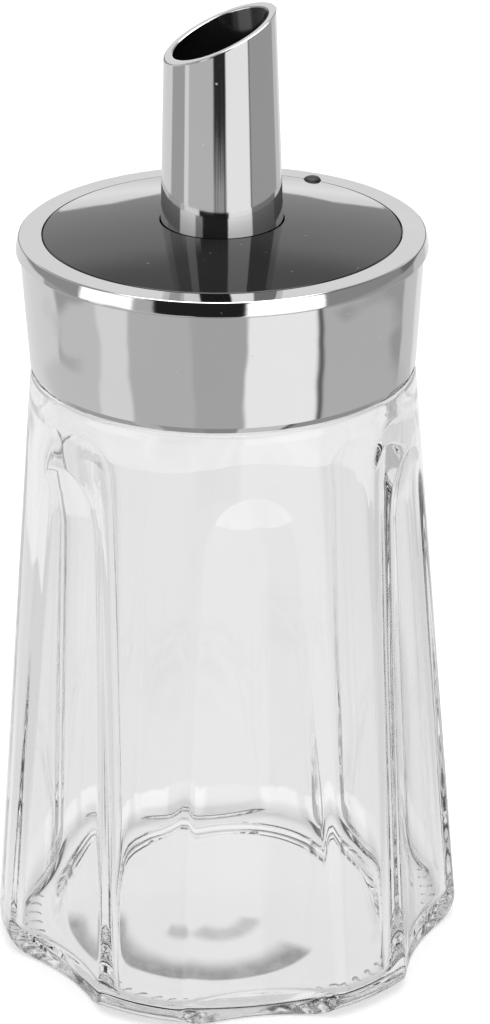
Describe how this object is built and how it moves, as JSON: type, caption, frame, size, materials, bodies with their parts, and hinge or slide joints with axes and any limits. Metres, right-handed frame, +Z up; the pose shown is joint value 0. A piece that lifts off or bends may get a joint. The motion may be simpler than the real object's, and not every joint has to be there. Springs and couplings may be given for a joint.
{
  "type": "sugar dispenser",
  "caption": "Fluted clear glass sugar jar with a chromed screw collar, a domed black disc and a slant-cut chromed pouring spout.",
  "frame": {"origin": "centre of the jar's foot, on the surface it stands on", "axes": "+Z up along the jar's axis; one flute faces -Y to within 2 degrees; the spout's low lip points to -X"},
  "size_m": [0.074, 0.0702, 0.1518],
  "materials": {
    "clear_glass": "clear polished pressed glass",
    "chrome_collar": "bright mirror chrome plating",
    "black_plastic": "glossy black moulding",
    "chrome_spout": "bright mirror chrome plating"
  },
  "bodies": {
    "root": {"glass_jar": "clear_glass", "lid_collar": "chrome_collar", "lid_disc": "black_plastic", "pour_spout": "chrome_spout"}
  },
  "joints": []
}
